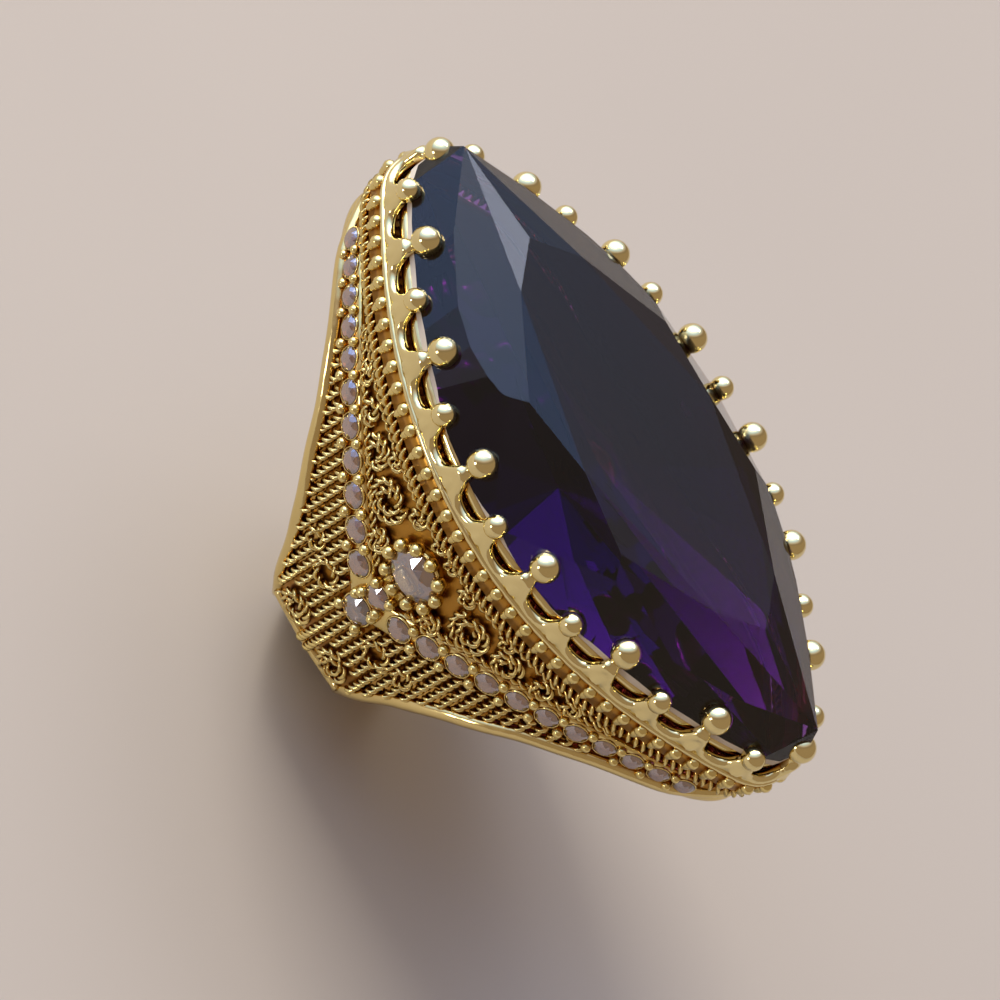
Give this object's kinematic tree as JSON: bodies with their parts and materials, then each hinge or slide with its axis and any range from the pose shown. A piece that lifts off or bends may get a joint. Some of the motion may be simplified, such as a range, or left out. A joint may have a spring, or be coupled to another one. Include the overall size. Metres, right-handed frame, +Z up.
{
  "type": "cocktail ring",
  "caption": "Gilt ring with a long navette-cut stone in a crown of ball-ended prongs over openwork shoulders set with small round stones.",
  "frame": {"origin": "centre of the finger hole", "axes": "+Y along the finger hole and the long axis of the stone, +Z up through the stone, +X out of the front shoulder wall"},
  "size_m": [0.0246, 0.0448, 0.0311],
  "materials": {
    "amethyst": "faceted and polished, deep violet",
    "gilt_metal": "cast, polished on the high spots and darker in the recesses",
    "white_zircon": "faceted and polished, colourless"
  },
  "bodies": {
    "root": {"main_stone": "amethyst", "prong_crown": "gilt_metal", "stone_seat": "gilt_metal", "granule_belt": "gilt_metal", "girdle_rope": "gilt_metal", "finger_sleeve": "gilt_metal", "lower_band": "gilt_metal", "front_shoulder_wall": "gilt_metal", "back_shoulder_wall": "gilt_metal", "front_zircon_rail": "gilt_metal", "back_zircon_rail": "gilt_metal", "front_wire_field": "gilt_metal", "back_wire_field": "gilt_metal", "front_centre_zircon": "white_zircon", "back_centre_zircon": "white_zircon", "front_link_zircon": "white_zircon", "back_link_zircon": "white_zircon", "front_apex_zircon": "white_zircon", "back_apex_zircon": "white_zircon", "front_left_zircon_1": "white_zircon", "back_left_zircon_1": "white_zircon", "front_left_zircon_2": "white_zircon", "back_left_zircon_2": "white_zircon", "front_left_zircon_3": "white_zircon", "back_left_zircon_3": "white_zircon", "front_left_zircon_4": "white_zircon", "back_left_zircon_4": "white_zircon", "front_left_zircon_5": "white_zircon", "back_left_zircon_5": "white_zircon", "front_left_zircon_6": "white_zircon", "back_left_zircon_6": "white_zircon", "front_left_zircon_7": "white_zircon", "back_left_zircon_7": "white_zircon", "front_left_zircon_8": "white_zircon", "back_left_zircon_8": "white_zircon", "front_left_zircon_9": "white_zircon", "back_left_zircon_9": "white_zircon", "front_left_zircon_10": "white_zircon", "back_left_zircon_10": "white_zircon", "front_right_zircon_1": "white_zircon", "back_right_zircon_1": "white_zircon", "front_right_zircon_2": "white_zircon", "back_right_zircon_2": "white_zircon", "front_right_zircon_3": "white_zircon", "back_right_zircon_3": "white_zircon", "front_right_zircon_4": "white_zircon", "back_right_zircon_4": "white_zircon", "front_right_zircon_5": "white_zircon", "back_right_zircon_5": "white_zircon", "front_right_zircon_6": "white_zircon", "back_right_zircon_6": "white_zircon", "front_right_zircon_7": "white_zircon", "back_right_zircon_7": "white_zircon", "front_right_zircon_8": "white_zircon", "back_right_zircon_8": "white_zircon", "front_right_zircon_9": "white_zircon", "back_right_zircon_9": "white_zircon", "front_right_zircon_10": "white_zircon", "back_right_zircon_10": "white_zircon"}
  },
  "joints": []
}
